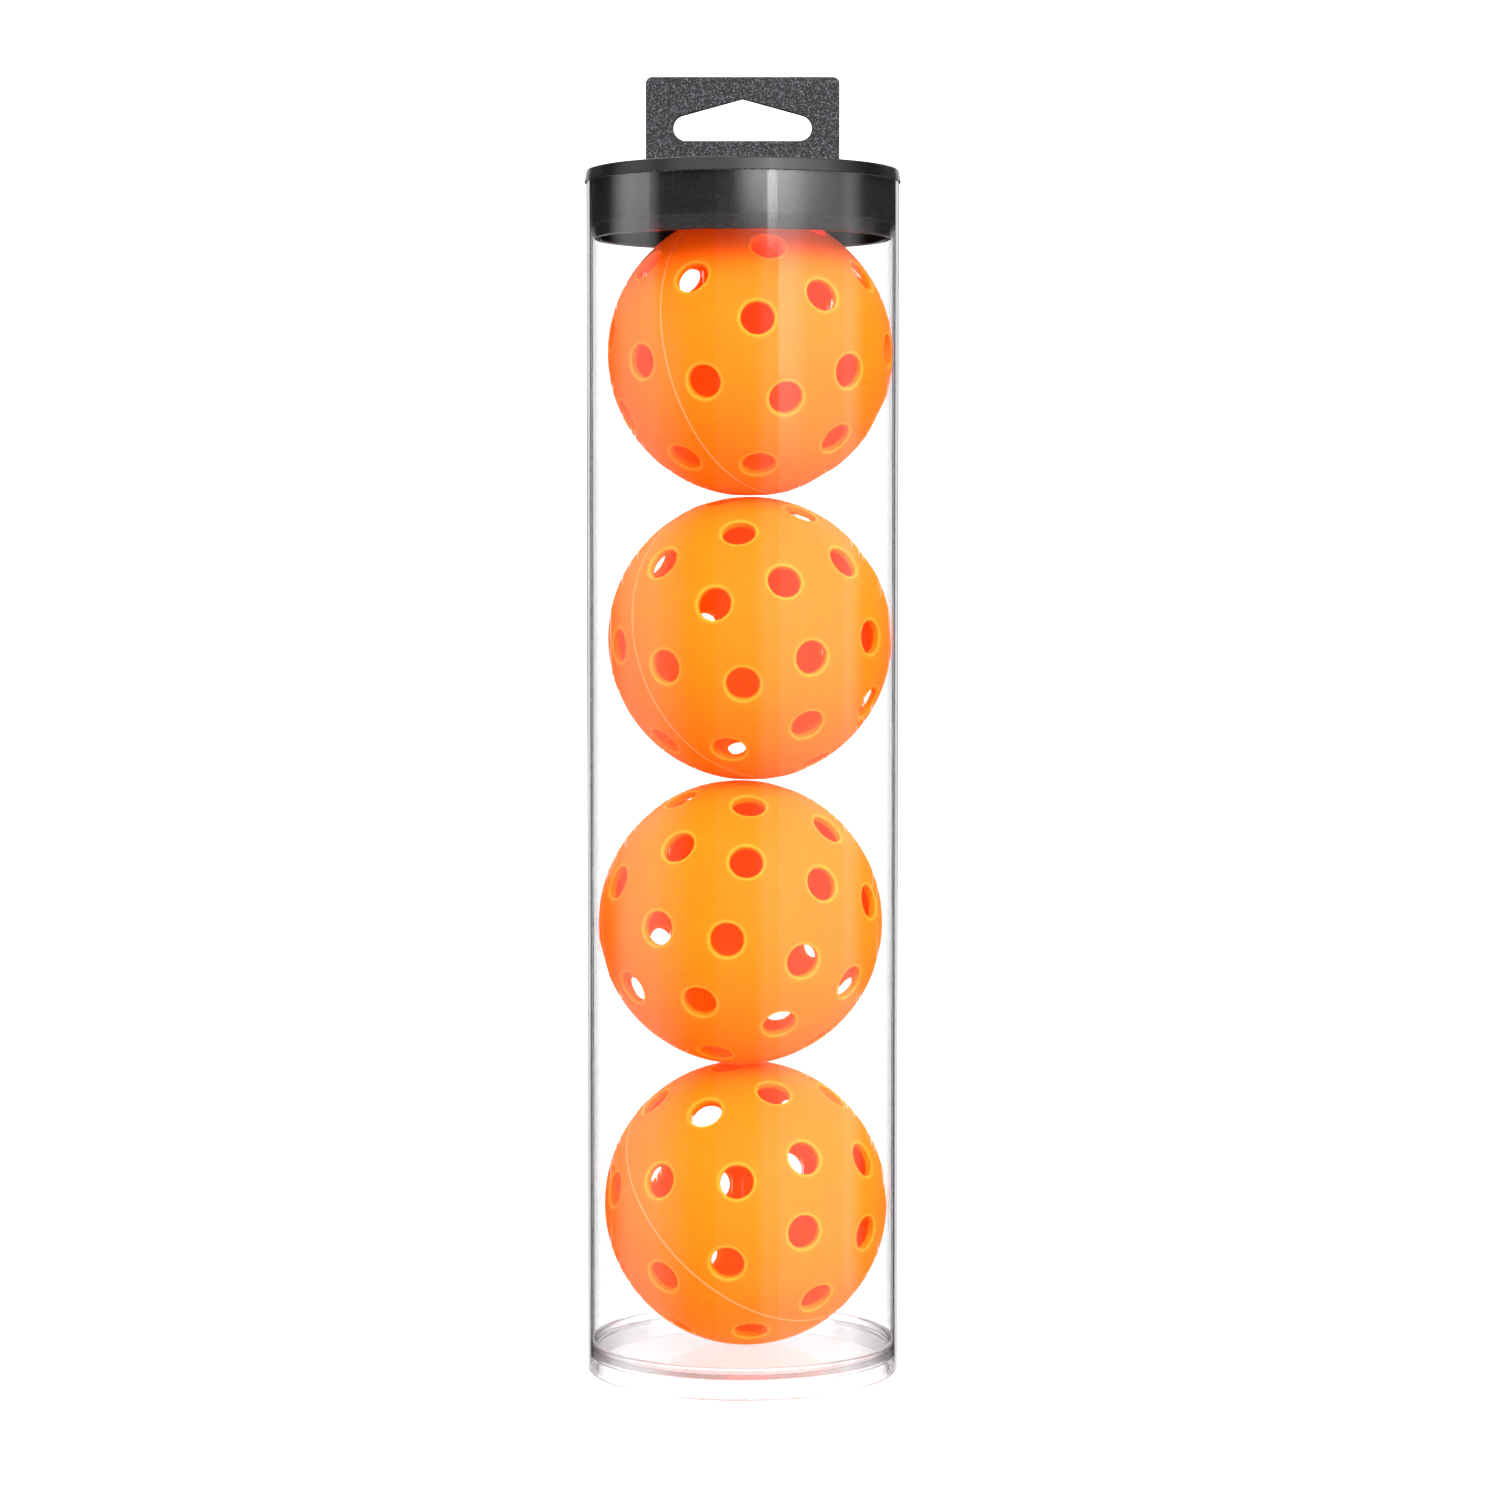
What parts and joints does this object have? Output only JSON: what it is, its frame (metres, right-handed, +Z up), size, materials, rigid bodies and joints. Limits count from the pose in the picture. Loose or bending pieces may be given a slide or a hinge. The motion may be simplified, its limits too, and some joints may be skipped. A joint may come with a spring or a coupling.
{
  "type": "pickleball tube pack",
  "caption": "Clear tube of perforated plastic pickleball balls, with a clear foot plug and a black cap that carries an upright hanging tab.",
  "frame": {"origin": "on the tube's axis, at the surface that the plug stands on", "axes": "+Z up along the tube, +X along the width of the hanging tab, -Y towards the front"},
  "size_m": [0.082, 0.082, 0.3364],
  "materials": {
    "clear_tube": "clear, glossy",
    "clear_plug": "clear, glossy",
    "cap_plastic": "moulded, fine spark-eroded grain",
    "ball_plastic": "translucent, satin"
  },
  "bodies": {
    "tube": {"tube": "clear_tube", "base_cap": "clear_plug"},
    "ball_4": {"ball_4_shell_a": "ball_plastic", "ball_4_shell_b": "ball_plastic"},
    "ball_3": {"ball_3_shell_a": "ball_plastic", "ball_3_shell_b": "ball_plastic"},
    "ball_2": {"ball_2_shell_a": "ball_plastic", "ball_2_shell_b": "ball_plastic"},
    "ball_1": {"ball_1_shell_a": "ball_plastic", "ball_1_shell_b": "ball_plastic"},
    "hang_cap": {"hang_cap": "cap_plastic"}
  },
  "joints": [
    {"name": "ball_4_lift", "type": "slide", "parent": "tube", "child": "ball_4", "axis": [0, 0, 1], "range_m": [0, 0.31]},
    {"name": "ball_3_lift", "type": "slide", "parent": "ball_4", "child": "ball_3", "axis": [0, 0, 1], "range_m": [0, 0.235]},
    {"name": "ball_2_lift", "type": "slide", "parent": "ball_3", "child": "ball_2", "axis": [0, 0, 1], "range_m": [0, 0.16]},
    {"name": "ball_1_lift", "type": "slide", "parent": "ball_2", "child": "ball_1", "axis": [0, 0, 1], "range_m": [0, 0.09]},
    {"name": "hang_cap_lift", "type": "slide", "parent": "ball_1", "child": "hang_cap", "axis": [0, 0, 1], "range_m": [0, 0.06]}
  ]
}
